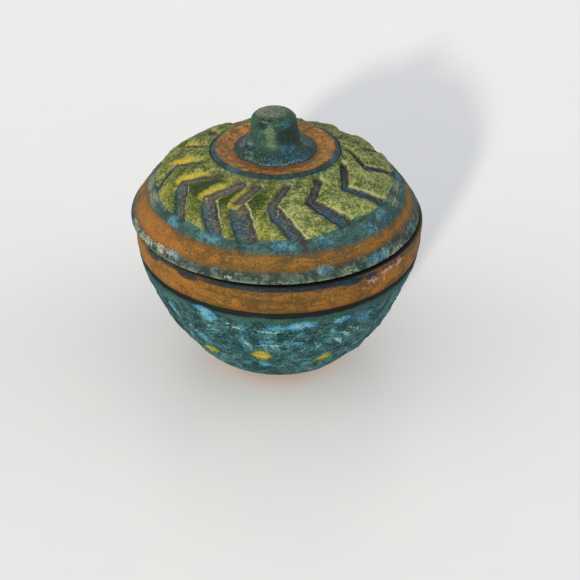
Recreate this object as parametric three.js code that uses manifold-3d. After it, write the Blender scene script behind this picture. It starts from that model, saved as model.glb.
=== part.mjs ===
// A small handmade lidded bowl of painted clay: a round bowl on a foot ring, and a domed lid that lifts off,
// with carved chevron strokes, a dished plate and a knob. Millimetres, +Z up, the foot stands on Z = 0.
import * as THREE from "three";
import { mergeVertices } from "three/addons/utils/BufferGeometryUtils.js";
import Module from "manifold-3d";

const wasm = await Module();
wasm.setup();

// Bowl
const bowlRadius = 56.6; // widest, at the painted band
const bowlHeight = 65; // table to the flat top of the rim
const wallThickness = 5.4; // at the rim
const floorThickness = 5.5;
const baseRadius = 24; // flat underside that the foot ring is luted to
const wallUpper = 1.4; // how the wall rounds off towards the band
const wallLower = 0.572; // how it turns in to the base
const bandHeight = 11.7; // from the rim down to the incised line
const lineHeight = 2.5;
const lineDepth = 1.1;
const rimRounding = 1.9;
const widestBelow = 8.4; // from the rim down to the widest line
const flatRows = [[0.2, 16], [0.37, 19], [0.55, 21], [0.73, 22]]; // place of each row of flats on the wall, and how many
const flatDepth = 0.62; // the flats that the knife left on the wall
const flatUneven = 0.26; // how far their depth varies
const flatDrift = 1.4; // how far they stray from their row

// Foot ring
const footHeight = 2.5;
const footOuter = 23;
const footInner = 16.5;
const footTaper = 0.9;

// Lid
const lidInset = 0.2; // the lid's edge stands this far inside the bowl's widest line
const lidRadius = bowlRadius - lidInset;
const lidRise = 25.3; // lip to the crown under the plate
const domePower = 3.17; // flat crown, full shoulder
const domeEdge = 0.82; // below 1 it steepens the edge above the lip
const hollowPower = 4; // the same for the inside
const lipHeight = 1.3; // the lip's widest point above the rim
const lipGap = 0.9; // dark gap between lip and rim, outside the seat
const lidThickness = 6.2;
const seatWidth = 3; // flat ring where the lid sits on the rim
const lidShift = -1.4; // the lid sits a little to one side, within its play

// Carving on the lid
const landHeight = 1.3; // the carved zone stands proud of the dome
const landOuter = 45.8;
const landBevel = 2;
const strokeDepth = 2.7; // floor of a stroke below the raised zone
const strokeEdge = 1.5; // depth at which its worn edges meet its walls
const strokeWall = 0.35; // slope of its walls
const wornEdge = 2.4; // width of its worn edges
const slopeFar = 3; // the lands on the left of the photo lean: a short slope down to the stroke behind its far edge,
const slopeNear = 7.5; // a long one before its near edge, along the inner arm,
const slopeOut = 3; // and this one along the outer arm
const strokeInner = 27.6; // the strokes' inner and outer ends, from the lid's axis
const strokeOuter = 48.8;
// The strokes as they were carved, unevenly: elbow in degrees from +X (the photo's side is -90), its distance from
// the lid's axis, sweep from it to the inner and outer end, and half width of the inner and outer arm.
const strokes = [
  [-201, 38, 9, 14, 1.4, 2],
  [-176.5, 38.5, 11, 12.5, 1.2, 2.1],
  [-154.8, 38.8, 15.8, 18, 1.8, 3],
  [-130.9, 38.3, 14.4, 14.8, 2, 3.2],
  [-112.3, 37.4, 8.2, 11, 1.8, 4],
  [-92.5, 36.8, 10.8, 13.6, 1.8, 2.7],
  [-69.4, 35.8, 14.6, 17, 1.7, 2.7],
  [-43, 35, 20.5, 17.2, 1.6, 2],
  [-12.6, 35, 17, 15.5, 1.6, 1.9],
  [14, 36, 13, 14, 1.7, 2.3],
  [39, 37, 14, 15, 1.7, 2.6],
  [64, 37.5, 14, 14, 1.8, 2.8],
  [89, 37, 13, 14, 1.8, 2.5],
  [113, 37.5, 12, 13, 1.7, 2.7],
  [136, 37, 13, 13, 1.7, 2.4],
];
const leanFrom = -85; // strokes before this angle have the leaning lands

// Locating flange under the lid
const flangeHeight = 5.5;
const flangeWall = 3.2;
const flangePlay = 2.2; // between the flange and the bowl's mouth, all round

// Plate round the knob
const plateRadius = 25;
const plateEdge = 1.5; // bevel height
const plateBevel = 2.2; // bevel width
const plateDish = 1.1;
const plateSeat = 1.6; // thickness under the knob
const plateGap = 0.3; // round the plate's foot, in its recess

// Knob
const knobHeight = 15.6; // above the plate's seat
const knobRadius = 8.75; // near the top
const knobWaist = 10.2; // where it starts to flare
const knobCrown = 0.3; // share of the radius that is flat on top
const knobMiddle = 0.45; // share of the height at the middle of the grip
const knobShoulder = 0.78; // and where the crown starts to round off
const skirtRadius = 15.7;
const skirtHeight = 5.2;
const skirtFlare = 1.4; // above 1 it spreads faster towards its edge
const skirtEdge = 0.5;

const around = 64; // facets round each turned piece
const aroundBowl = 96; // more round the bowl, for its flats

// A turned solid: the profile runs up the outside and closes on the axis or on itself.
function turned(profile, shift = 0, facets = around) {
  const points = profile.map(([r, z]) => new THREE.Vector2(r, z));
  const geometry = new THREE.LatheGeometry(points, facets);
  geometry.rotateX(Math.PI / 2);
  geometry.translate(shift, 0, 0);
  return bare(geometry);
}

function bare(geometry) {
  geometry.deleteAttribute("normal");
  geometry.deleteAttribute("uv");
  return mergeVertices(geometry, 1e-4);
}

function solid(geometry) {
  return new wasm.Manifold(
    new wasm.Mesh({
      numProp: 3,
      vertProperties: new Float32Array(geometry.getAttribute("position").array),
      triVerts: new Uint32Array(geometry.index.array),
    }),
  );
}

function geometryOf(manifold) {
  const { vertProperties, triVerts } = manifold.getMesh();
  const geometry = new THREE.BufferGeometry();
  geometry.setAttribute("position", new THREE.BufferAttribute(new Float32Array(vertProperties), 3));
  geometry.setIndex(new THREE.BufferAttribute(new Uint32Array(triVerts), 1));
  return geometry;
}

// Even steps from a to b, both ends included.
function steps(a, b, count) {
  return Array.from({ length: count + 1 }, (_, i) => a + ((b - a) * i) / count);
}

// Bowl: the wall swells from the base to the band on one curve; the inside follows with its own.
const bandLow = bowlHeight - bandHeight;
const swellTop = bowlHeight - widestBelow;

function swell(z, low, lowRadius, radius) {
  const t = Math.min(1, Math.max(0, (z - low) / (swellTop - low)));
  return lowRadius + (radius - lowRadius) * Math.pow(1 - Math.pow(1 - t, wallUpper), wallLower);
}

const outside = (z) => swell(z, footHeight, baseRadius, bowlRadius);
const floorZ = footHeight + floorThickness;
const mouthRadius = bowlRadius - wallThickness;
const inside = (z) => swell(z, floorZ, baseRadius - 3.5, mouthRadius);
const wallSteps = [0, 0.02, 0.06, ...steps(0.11, 0.94, 17)];
const lineLow = bandLow - lineHeight;

const bowlProfile = [[0, footHeight]];
for (const t of wallSteps) {
  const z = footHeight + (lineLow - footHeight) * t;
  bowlProfile.push([outside(z), z]);
}
bowlProfile.push(
  [outside(lineLow), lineLow],
  [outside(lineLow) - lineDepth, lineLow + lineHeight * 0.3],
  [outside(bandLow) - lineDepth, bandLow - lineHeight * 0.3],
  [outside(bandLow), bandLow],
  [bowlRadius, swellTop],
  [bowlRadius - 0.1, bowlHeight - rimRounding],
);
for (const a of steps(0.2, 1, 3)) {
  const turn = (a * Math.PI) / 2;
  const r = bowlRadius - 0.1 - rimRounding * (1 - Math.cos(turn));
  bowlProfile.push([r, bowlHeight - rimRounding + rimRounding * Math.sin(turn)]);
}
const seatInner = mouthRadius + 0.8;
bowlProfile.push([seatInner, bowlHeight], [mouthRadius + 0.2, bowlHeight - 0.5], [mouthRadius, bowlHeight - 1.4]);
for (const t of [0.86, 0.7, 0.54, 0.4, 0.28, 0.18, 0.1, 0.04, 0]) {
  const z = floorZ + (bowlHeight - floorZ) * t;
  bowlProfile.push([inside(z), z]);
}
bowlProfile.push([0, floorZ]);

// Uneven flats on the wall below the line: each is a plane set a little inside the turned wall.
const flats = [];
flatRows.forEach(([share, count], row) => {
  for (let k = 0; k < count; k++) {
    const a = ((k + 0.5 * (row % 2) + 0.22 * Math.sin(7.1 * k + 3.7 * row)) * 2 * Math.PI) / count;
    const z = footHeight + (lineLow - footHeight) * share + flatDrift * Math.sin(5.3 * k + 2.1 * row);
    const slope = outside(z + 0.5) - outside(z - 0.5);
    const normal = new THREE.Vector3(Math.cos(a), Math.sin(a), -slope).normalize();
    const point = new THREE.Vector3(outside(z) * Math.cos(a), outside(z) * Math.sin(a), z);
    point.addScaledVector(normal, -flatDepth - flatUneven * Math.sin(3.7 * k + 5.3 * row));
    flats.push(new THREE.Plane().setFromNormalAndCoplanarPoint(normal, point));
  }
});

function flattened(geometry) {
  const position = geometry.getAttribute("position");
  const at = new THREE.Vector3();
  for (let i = 0; i < position.count; i++) {
    at.fromBufferAttribute(position, i);
    const onWall = at.z > footHeight + 1 && at.z < lineLow - 0.5 && Math.hypot(at.x, at.y) > outside(at.z) - 1;
    if (!onWall) continue;
    const excess = flats.map((flat) => flat.distanceToPoint(at));
    const deepest = Math.max(...excess);
    if (deepest > 0) at.addScaledVector(flats[excess.indexOf(deepest)].normal, -deepest);
    position.setXYZ(i, at.x, at.y, at.z);
  }
  return geometry;
}

// Foot ring, face to face with the underside
const footProfile = [
  [footInner, footHeight],
  [footInner + footTaper, 0.4],
  [footInner + footTaper + 0.5, 0],
  [footOuter - footTaper - 0.5, 0],
  [footOuter - footTaper, 0.4],
  [footOuter, footHeight],
  [footInner, footHeight],
];

// Lid: a dome on the rim, the carved zone raised on it, and a recess for the plate
const lipZ = bowlHeight + 0.6;
const dome = (r) => lipZ + lidRise * Math.pow(1 - Math.pow(r / lidRadius, domePower), domeEdge);
const plateFoot = plateRadius + plateGap;
const landInner = dome(plateFoot) + landHeight;
const plateZ = landInner - 1.2;
const seatOuter = seatInner + seatWidth;
const flangeOuter = mouthRadius - flangePlay;
const flangeInner = flangeOuter - flangeWall;
const hollowRise = dome(0) - lidThickness - bowlHeight;
const hollow = (r) => bowlHeight + hollowRise * (1 - Math.pow(r / flangeInner, hollowPower));

const lidProfile = [
  [flangeInner, bowlHeight],
  [seatOuter + lidShift, bowlHeight],
  [seatOuter + lidShift + 0.6, bowlHeight + lipGap * 0.7],
  [lidRadius - 1.3, bowlHeight + lipGap],
  [lidRadius - 0.4, bowlHeight + lipGap + 0.1],
  [lidRadius, bowlHeight + lipHeight],
  [lidRadius - 0.35, bowlHeight + lipHeight + 0.6],
];
for (const r of steps(lidRadius - 1.6, landOuter + landBevel, 4)) lidProfile.push([r, dome(r)]);
for (const r of steps(landOuter, plateFoot, 8)) lidProfile.push([r, dome(r) + landHeight]);
lidProfile.push([plateFoot, plateZ], [0, plateZ]);
const lidHollow = [[0, hollow(0)]];
for (const r of steps(flangeInner * 0.4, flangeInner, 6)) lidHollow.push([r, hollow(r)]);
const lidClosed = [...lidHollow, ...lidProfile.slice(1)];

let lid = solid(turned(lidClosed, lidShift));

// One chevron stroke: it follows the raised zone from the plate to the elbow and out, and runs out on the dome.
const clear = 3; // the cutters reach this far above the raised zone
const overlap = 0.2; // and this far into one another
const finest = 0.01; // edges shorter than this are merged

// Place, upward direction and half width along a stroke, with its depth and how much of the worn edges it has there
function strokePath([elbow, bend, inner, outer, slim, wide]) {
  const arms = [0, 0.5, 1].map((t) => ({
    angle: elbow + inner * Math.pow(1 - t, 1.15),
    r: strokeInner + (bend - strokeInner) * t,
    half: slim + (wide - slim) * 0.3 * t,
    depth: strokeDepth,
    worn: 0.35 + 0.65 * t,
    near: slopeNear,
  }));
  for (const t of [0.3, 0.65, 0.88, 1.06]) {
    const last = t > 1;
    arms.push({
      angle: elbow + outer * Math.pow(t, 0.9),
      r: bend + (strokeOuter - bend) * t,
      half: wide,
      depth: last ? landHeight : strokeDepth,
      worn: last ? 0.4 : 1,
      near: slopeOut,
    });
  }
  for (const arm of arms) {
    const a = (arm.angle * Math.PI) / 180;
    const slope = dome(arm.r + 0.5) - dome(arm.r - 0.5);
    arm.place = new THREE.Vector3(lidShift + arm.r * Math.cos(a), arm.r * Math.sin(a), dome(arm.r) + landHeight);
    arm.up = new THREE.Vector3(-slope * Math.cos(a), -slope * Math.sin(a), 1).normalize();
  }
  arms.forEach((arm, i) => {
    const before = arms[Math.max(0, i - 1)].place;
    const after = arms[Math.min(arms.length - 1, i + 1)].place;
    arm.side = after.clone().sub(before).cross(arm.up).normalize();
  });
  return arms;
}

// Four corners of a cutter across a stroke: half width and depth at its bottom, half widths at its top
function corners(arm, low, depth, far, near = far) {
  return [[-low, -depth], [low, -depth], [far, clear], [-near, clear]].map(([x, y]) => {
    return arm.place.clone().addScaledVector(arm.side, x).addScaledVector(arm.up, y);
  });
}

for (const stroke of strokes) {
  const leans = stroke[0] < leanFrom;
  const path = strokePath(stroke);
  const groove = path.map((arm) => {
    const floor = arm.half - strokeWall;
    return corners(arm, floor, arm.depth, floor + (strokeWall * (arm.depth + clear)) / (strokeDepth - strokeEdge));
  });
  const edges = path.map((arm) => {
    const depth = Math.min(strokeEdge, arm.depth);
    const rise = (arm.worn * (depth + clear)) / strokeEdge;
    const far = leans ? slopeFar : wornEdge;
    const near = leans ? arm.near : wornEdge;
    return corners(arm, arm.half, depth, arm.half + far * rise, arm.half + near * rise);
  });
  const cuts = [groove, edges].flatMap((sections) =>
    sections.slice(1).map((section, i) => {
      const along = path[i + 1].place.clone().sub(path[i].place).setLength(overlap);
      const before = sections[i].map((corner) => corner.clone().sub(along));
      const after = section.map((corner) => corner.clone().add(along));
      return wasm.Manifold.hull([...before, ...after].map((corner) => corner.toArray()));
    }),
  );
  lid = lid.subtract(wasm.Manifold.union(cuts));
}
// Where two cuts meet they can leave a sliver without thickness; only the lid itself is kept.
lid = lid.simplify(finest).decompose().reduce((a, b) => (b.volume() > a.volume() ? b : a));

// Locating flange, face to face with the lid's flat underside
const flangeProfile = [
  [flangeInner, bowlHeight],
  [flangeInner + 0.4, bowlHeight - flangeHeight + 0.6],
  [flangeInner + 1, bowlHeight - flangeHeight],
  [flangeOuter - 1.2, bowlHeight - flangeHeight],
  [flangeOuter - 0.5, bowlHeight - flangeHeight + 0.7],
  [flangeOuter, bowlHeight],
  [flangeInner, bowlHeight],
];

// Plate in its recess: bevelled edge, dished face, flat seat for the knob
const plateTop = landInner + plateEdge;
const knobZ = plateZ + plateSeat;
const ringOuter = plateRadius - plateBevel;
const plateProfile = [
  [0, plateZ],
  [plateRadius, plateZ],
  [plateRadius, landInner - 0.1],
  [ringOuter + 0.5, plateTop - 0.25],
  [ringOuter, plateTop],
  [ringOuter - 0.8, plateTop - 0.1],
];
for (const t of [0.3, 0.6, 0.85]) {
  const r = ringOuter - 0.8 + (skirtRadius + 0.3 - ringOuter + 0.8) * t;
  plateProfile.push([r, plateTop - plateDish * t]);
}
plateProfile.push([skirtRadius + 0.3, knobZ], [0, knobZ]);

// Knob: flared skirt, tapered grip and a rounded crown
const knobTop = knobZ + knobHeight;
const knobProfile = [
  [0, knobZ],
  [skirtRadius, knobZ],
  [skirtRadius, knobZ + skirtEdge],
];
for (const t of [0.25, 0.5, 0.75, 1]) {
  const flare = Math.pow(1 - t, skirtFlare);
  knobProfile.push([knobWaist + (skirtRadius - 0.5 - knobWaist) * flare, knobZ + skirtEdge + skirtHeight * t]);
}
knobProfile.push([(knobWaist + knobRadius) / 2, knobZ + knobHeight * knobMiddle]);
knobProfile.push([knobRadius, knobZ + knobHeight * knobShoulder]);
for (const a of [0.3, 0.55, 0.78, 0.92]) {
  const turn = (a * Math.PI) / 2;
  const r = knobRadius * (knobCrown + (1 - knobCrown) * Math.cos(turn));
  knobProfile.push([r, knobTop - knobHeight * (1 - knobShoulder) * (1 - Math.sin(turn))]);
}
knobProfile.push([0, knobTop]);

const pieces = [
  ["bowl_body", flattened(turned(bowlProfile, 0, aroundBowl)), 0x3f6c6e, 0.72],
  ["foot_ring", turned(footProfile), 0xa8683e, 0.85],
  ["lid_dome", geometryOf(lid), 0x7d8a4f, 0.7],
  ["lid_flange", turned(flangeProfile, lidShift), 0xa8683e, 0.85],
  ["knob_plate", turned(plateProfile, lidShift), 0x9a6a3c, 0.7],
  ["lid_knob", turned(knobProfile, lidShift), 0x3c6157, 0.62],
];

const pot = new THREE.Group();
for (const [name, geometry, color, roughness] of pieces) {
  const mesh = new THREE.Mesh(geometry, new THREE.MeshStandardMaterial({ color, roughness, metalness: 0 }));
  mesh.name = name;
  pot.add(mesh);
}

export default pot;
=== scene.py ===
import math
import bpy
import numpy as np
from mathutils import Matrix, Vector


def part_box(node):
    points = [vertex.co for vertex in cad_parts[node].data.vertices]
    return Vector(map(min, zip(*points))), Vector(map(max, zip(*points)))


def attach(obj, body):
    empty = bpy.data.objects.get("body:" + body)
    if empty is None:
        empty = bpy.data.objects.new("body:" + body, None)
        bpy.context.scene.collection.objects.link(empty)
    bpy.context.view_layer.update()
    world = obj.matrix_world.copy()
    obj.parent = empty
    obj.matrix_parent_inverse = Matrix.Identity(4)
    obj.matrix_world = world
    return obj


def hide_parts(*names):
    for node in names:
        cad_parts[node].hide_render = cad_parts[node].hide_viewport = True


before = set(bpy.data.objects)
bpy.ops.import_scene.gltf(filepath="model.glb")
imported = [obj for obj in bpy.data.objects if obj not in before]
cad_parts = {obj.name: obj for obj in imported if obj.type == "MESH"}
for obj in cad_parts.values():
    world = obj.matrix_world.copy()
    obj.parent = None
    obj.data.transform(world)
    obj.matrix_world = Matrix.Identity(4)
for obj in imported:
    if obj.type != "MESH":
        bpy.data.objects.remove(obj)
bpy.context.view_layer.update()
mm = 0.001
scene = bpy.context.scene
lowKnob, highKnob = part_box("lid_knob")
lidAxis = (lowKnob.x + highKnob.x) / 2 / mm     # the lid sits a little to the left of the bowl, in mm


# small helpers for modelling; sizes and places are in mm

def deselect():
    if bpy.context.object and bpy.context.object.mode != "OBJECT":
        bpy.ops.object.mode_set(mode="OBJECT")
    bpy.ops.object.select_all(action="DESELECT")


def spinPiece(name, profile, segments, axisX=0.0):
    # draw the profile (radius, height) by extruding one point, then spin it round the axis
    deselect()
    bpy.ops.mesh.primitive_plane_add(size=mm)
    piece = bpy.context.object
    piece.name = piece.data.name = name
    bpy.ops.object.mode_set(mode="EDIT")
    bpy.ops.mesh.select_all(action="SELECT")
    bpy.ops.mesh.merge(type="CENTER")
    first = profile[0]
    bpy.ops.transform.translate(value=((axisX + first[0]) * mm, 0, first[1] * mm))
    for a, b in zip(profile, profile[1:]):
        step = ((b[0] - a[0]) * mm, 0, (b[1] - a[1]) * mm)
        bpy.ops.mesh.extrude_vertices_move(TRANSFORM_OT_translate={"value": step})
    bpy.ops.mesh.select_all(action="SELECT")
    bpy.ops.mesh.spin(steps=segments, angle=2 * math.pi, center=(axisX * mm, 0, 0), axis=(0, 0, 1))
    bpy.ops.mesh.select_all(action="SELECT")
    bpy.ops.mesh.remove_doubles(threshold=2e-6)
    bpy.ops.mesh.normals_make_consistent(inside=False)
    bpy.ops.object.mode_set(mode="OBJECT")
    bpy.ops.object.shade_smooth_by_angle(angle=math.radians(55))
    print("spun", name, len(piece.data.polygons), "faces")
    return piece


def places(piece, axisX=0.0):
    # every vertex as its place, radius and angle (degrees) about the axis
    flat = np.empty(len(piece.data.vertices) * 3, np.float32)
    piece.data.vertices.foreach_get("co", flat)
    at = flat.reshape(-1, 3).astype(np.float64) / mm
    radius = np.hypot(at[:, 0] - axisX, at[:, 1])
    angle = np.degrees(np.arctan2(at[:, 1], at[:, 0] - axisX))
    return at, radius, angle


def setMask(piece, name, values):
    layer = piece.data.attributes.new(name, "FLOAT", "POINT")
    layer.data.foreach_set("value", np.asarray(values, np.float32))


def displace(piece, label, weights, strength, middle=0.0, direction="NORMAL", cloud=None):
    # a Displace modifier moves each vertex by its weight and is applied
    group = piece.vertex_groups.new(name=label)
    for i in np.nonzero(weights > 0.002)[0]:
        group.add([int(i)], float(weights[i]), "REPLACE")
    mod = piece.modifiers.new(label, "DISPLACE")
    mod.texture = cloud
    mod.texture_coords = "LOCAL"
    mod.direction = direction
    mod.mid_level = middle
    mod.strength = strength * mm
    mod.vertex_group = group.name
    bpy.context.view_layer.objects.active = piece
    bpy.ops.object.modifier_apply(modifier=mod.name)
    piece.vertex_groups.remove(piece.vertex_groups[label])


def press(piece, label, sink, deepest, direction="NORMAL"):
    # sink the surface by sink (up to deepest), or slide it along an axis
    displace(piece, label, sink / deepest, -deepest, 0, direction)


inwards, bothWays = 1.0, 0.5     # how a cloud pattern moves the surface


def roughen(piece, label, relief, weights, way=inwards):
    # move the surface by clouds: relief gives their size and how far they move it
    size, amount = relief
    cloud = bpy.data.textures.new(label, "CLOUDS")
    cloud.noise_scale = size * mm
    cloud.noise_depth = 2
    displace(piece, label, np.asarray(weights, float), amount, way, cloud=cloud)


def ease(value, low, high):
    t = np.clip((value - low) / (high - low), 0, 1)
    return t * t * (3 - 2 * t)


def easeDown(value, low, high):
    return ease(-value, -high, -low)


def steps(a, b, count):
    return [a + (b - a) * i / count for i in range(count + 1)]


def spotMask(angle, level, spots, radius):
    # soft oval spots: angle, level, half length, half height, then strength and slant (degrees) unless they
    # are 1 and 0; a length counts at the given radius
    total = np.zeros(len(angle))
    for at, middle, half, tall, *more in spots:
        strength, slant = more + [1, 0][len(more):]
        u = np.radians((angle - at + 180) % 360 - 180) * radius
        v = level - middle
        c, s = math.cos(math.radians(slant)), math.sin(math.radians(slant))
        d = np.hypot((u * c + v * s) / half, (v * c - u * s) / tall)
        total = np.maximum(total, strength * easeDown(d, 0.3, 1.6))
    return total


def byAngle(angle, table):
    # a value for every angle, from a table of (angle, value)
    return np.interp(angle, *zip(*table))


def paintFaces(piece, finish, test):
    # the faces that test() picks by their middle take another material
    piece.data.materials.append(finish)
    slot = len(piece.data.materials) - 1
    for face in piece.data.polygons:
        if test(face.center / mm):
            face.material_index = slot


def settle(piece, body, node):
    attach(piece, body)
    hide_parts(node)
    print(piece.name, "made")


# shader maths: a value wraps a socket, and an expression on values adds its Math nodes

def rgb(r, g, b):
    def linear(c):
        c /= 255
        return c / 12.92 if c <= 0.04045 else ((c + 0.055) / 1.055) ** 2.4
    return (linear(r), linear(g), linear(b), 1)


class Val:
    def __init__(self, finish, socket):
        self.finish = finish
        self.socket = socket

    def calc(self, operation, first, second):
        return self.finish.node("ShaderNodeMath", {"operation": operation}, {0: first, 1: second})

    def __add__(self, other):
        return self.calc("ADD", self, other)

    def __radd__(self, other):
        return self.calc("ADD", other, self)

    def __sub__(self, other):
        return self.calc("SUBTRACT", self, other)

    def __rsub__(self, other):
        return self.calc("SUBTRACT", other, self)

    def __mul__(self, other):
        return self.calc("MULTIPLY", self, other)

    def __rmul__(self, other):
        return self.calc("MULTIPLY", other, self)

    def by(self, amount):
        # a noise as a push either way, amount strong
        return (self - 0.5) * amount

    def ridge(self):
        # how far a noise is from its middle
        return self.calc("ABSOLUTE", self - 0.5, 0)


class Finish:
    def __init__(self, name, axisX=0.0):
        self.material = bpy.data.materials.new(name)
        self.material.use_nodes = True
        self.tree = self.material.node_tree
        self.shader = self.tree.nodes["Principled BSDF"]
        spot = self.node("ShaderNodeTexCoord", {}, {}, "Object")
        self.place = self.node("ShaderNodeVectorMath", {"operation": "SCALE"}, {0: spot, "Scale": 1 / mm})
        centre = (-axisX, 0, 0)
        centred = self.node("ShaderNodeVectorMath", {"operation": "ADD"}, {0: self.place, 1: centre})
        self.x, self.y, self.h = self.parts(centred)
        flat = self.node("ShaderNodeVectorMath", {"operation": "MULTIPLY"}, {0: centred, 1: (1, 1, 0)})
        self.r = self.node("ShaderNodeVectorMath", {"operation": "LENGTH"}, {0: flat}, "Value")

    def node(self, kind, settings, inputs, out=0):
        made = self.tree.nodes.new(kind)
        for key, value in settings.items():
            setattr(made, key, value)
        for key, value in inputs.items():
            if isinstance(value, Val):
                self.tree.links.new(value.socket, made.inputs[key])
            else:
                made.inputs[key].default_value = value
        return Val(self, made.outputs[out])

    def parts(self, vector):
        made = self.node("ShaderNodeSeparateXYZ", {}, {0: vector})
        return [Val(self, socket) for socket in made.socket.node.outputs]

    def joined(self, x, y, z):
        return self.node("ShaderNodeCombineXYZ", {}, {0: x, 1: y, 2: z})

    def noise(self, size, detail=3, rough=0.6, twist=0.0, vector=None):
        # a noise whose patches are about size mm across
        return self.node("ShaderNodeTexNoise", {},
                         {"Vector": vector or self.place, "Scale": 1 / size, "Detail": detail,
                          "Roughness": rough, "Distortion": twist})

    def streaks(self, length, width, across, detail=3, twist=0.0):
        # strokes that follow the turning, long round the axis and narrow across it
        vector = self.joined(self.x * (1 / length), self.y * (1 / length), across * (1 / width))
        return self.noise(1, detail, 0.6, twist, vector)

    def rise(self, value, low, high):
        return self.node("ShaderNodeMapRange", {"interpolation_type": "SMOOTHSTEP"},
                         {"Value": value, "From Min": low, "From Max": high, "To Min": 0, "To Max": 1})

    def fall(self, value, low, high):
        return 1 - self.rise(value, low, high)

    def mask(self, name):
        return self.node("ShaderNodeAttribute", {"attribute_name": name}, {}, "Fac")

    def mix(self, factor, a, b):
        return self.node("ShaderNodeMix", {"data_type": "RGBA"}, {0: factor, 6: a, 7: b}, 2)

    def coat(self, under, over, value, low, high, amount=1):
        # one colour over another where a value rises from low to high
        cover = self.rise(value, low, high)
        return self.mix(cover if amount == 1 else cover * amount, under, over)

    def pool(self, under, over, value, low, high, amount):
        # one colour over another where a value is low, as paint settles in hollows
        return self.mix(self.fall(value, low, high) * amount, under, over)

    def finish(self, colour, rough, height, bump, distance, gloss=0.22):
        self.shader.inputs["Specular IOR Level"].default_value = gloss
        normal = self.node("ShaderNodeBump", {},
                           {"Strength": bump, "Distance": distance * mm, "Height": height})
        for socket, value in (("Base Color", colour), ("Roughness", rough), ("Normal", normal)):
            self.tree.links.new(value.socket, self.shader.inputs[socket])
        return self.material


# camera and light

cameraView = {"place": (0, -344.05, 261.79), "down": 34.509, "right": 0.766, "roll": 0.48, "sensor": 36,
              "focal": 62.069}


def makeCamera():
    deselect()
    bpy.ops.object.camera_add()
    camera = bpy.context.object
    camera.data.lens = cameraView["focal"]
    camera.data.sensor_width = cameraView["sensor"]
    camera.data.clip_start = 0.01
    turn = (Matrix.Rotation(-math.radians(cameraView["right"]), 4, "Z")
            @ Matrix.Rotation(math.radians(90 - cameraView["down"]), 4, "X")
            @ Matrix.Rotation(math.radians(cameraView["roll"]), 4, "Z"))
    camera.rotation_euler = turn.to_euler()
    camera.location = [c * mm for c in cameraView["place"]]
    scene.camera = camera
    print("camera set")


studio = {"world": 0.58, "worldColour": (0.92, 0.96, 1, 1), "floor": rgb(246, 246, 246),
          "floorGrey": rgb(242, 242, 245), "floorSize": 8}

# sun lamps: where each shines from, power, width in degrees and colour
lamps = {"keyLamp": ((-0.30, -0.91, 0.28), 2.65, 4, (1, 0.91, 0.75)),
         "leftFill": ((-0.95, -0.1, 0.3), 0.7, 60, (1, 0.95, 0.86)),
         "rightFill": ((0.95, 0.0, 0.3), 0.6, 60, (1, 0.97, 0.92))}


def makeWorld():
    world = bpy.data.worlds.new("paleRoom")
    scene.world = world
    world.use_nodes = True
    tree = world.node_tree
    room = tree.nodes["Background"]
    room.inputs["Color"].default_value = studio["worldColour"]
    room.inputs["Strength"].default_value = studio["world"]
    white = tree.nodes.new("ShaderNodeBackground")
    white.inputs["Color"].default_value = (1, 1, 1, 1)
    rays = tree.nodes.new("ShaderNodeLightPath")
    seen = rays.outputs["Is Camera Ray"]
    for kind in ("Is Glossy Ray", "Is Transmission Ray"):
        either = tree.nodes.new("ShaderNodeMath")
        either.operation = "MAXIMUM"
        tree.links.new(seen, either.inputs[0])
        tree.links.new(rays.outputs[kind], either.inputs[1])
        seen = either.outputs[0]
    blend = tree.nodes.new("ShaderNodeMixShader")
    tree.links.new(seen, blend.inputs[0])
    tree.links.new(room.outputs[0], blend.inputs[1])
    tree.links.new(white.outputs[0], blend.inputs[2])
    tree.links.new(blend.outputs[0], tree.nodes["World Output"].inputs["Surface"])


def makeStudio():
    scene.view_settings.view_transform = "Standard"
    makeWorld()
    deselect()
    for name, (place, power, width, colour) in lamps.items():
        bpy.ops.object.light_add(type="SUN", location=place)
        lamp = bpy.context.object
        lamp.name = name
        lamp.data.energy = power
        lamp.data.angle = math.radians(width)
        lamp.data.color = colour
        lamp.rotation_euler = (-Vector(place)).to_track_quat("-Z", "Y").to_euler()
    deselect()
    bpy.ops.mesh.primitive_plane_add(size=studio["floorSize"])
    floor = bpy.context.object
    floor.name = "paleFloor"
    f = Finish("paleTable")
    cloudy = f.noise(60, 2)
    colour = f.mix(cloudy, studio["floor"], studio["floorGrey"])
    floor.data.materials.append(f.finish(colour, 0.3 + 0.06 * cloudy, cloudy, 0.02, 0.1, 0.4))
    print("studio set")


makeCamera()
makeStudio()


# bare fired clay, for the foot, the insides and the flange

clay = {"light": rgb(188, 132, 84), "mid": rgb(164, 110, 64), "dark": rgb(118, 78, 46), "rough": 0.78}


def makeClay():
    f = Finish("bareClay")
    broad = f.noise(16)
    fine = f.noise(1.1, 4, 0.65)
    throwing = f.streaks(30, 1.2, f.h + f.r * 0.6)
    colour = f.coat(clay["mid"], clay["light"], broad, 0.35, 0.7)
    colour = f.coat(colour, clay["dark"], fine, 0.55, 0.75, 0.6)
    colour = f.coat(colour, clay["dark"], throwing, 0.55, 0.8, 0.35)
    return f.finish(colour, clay["rough"] + 0.12 * fine, fine * 0.6 + throwing, 0.5, 0.25)


bareClay = makeClay()


# bowl; in these dictionaries a pair for lumps, waves or grain is their size and how far they move the
# surface, any other pair is where something starts and where it is full, and spots are spotMask's radius

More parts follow.
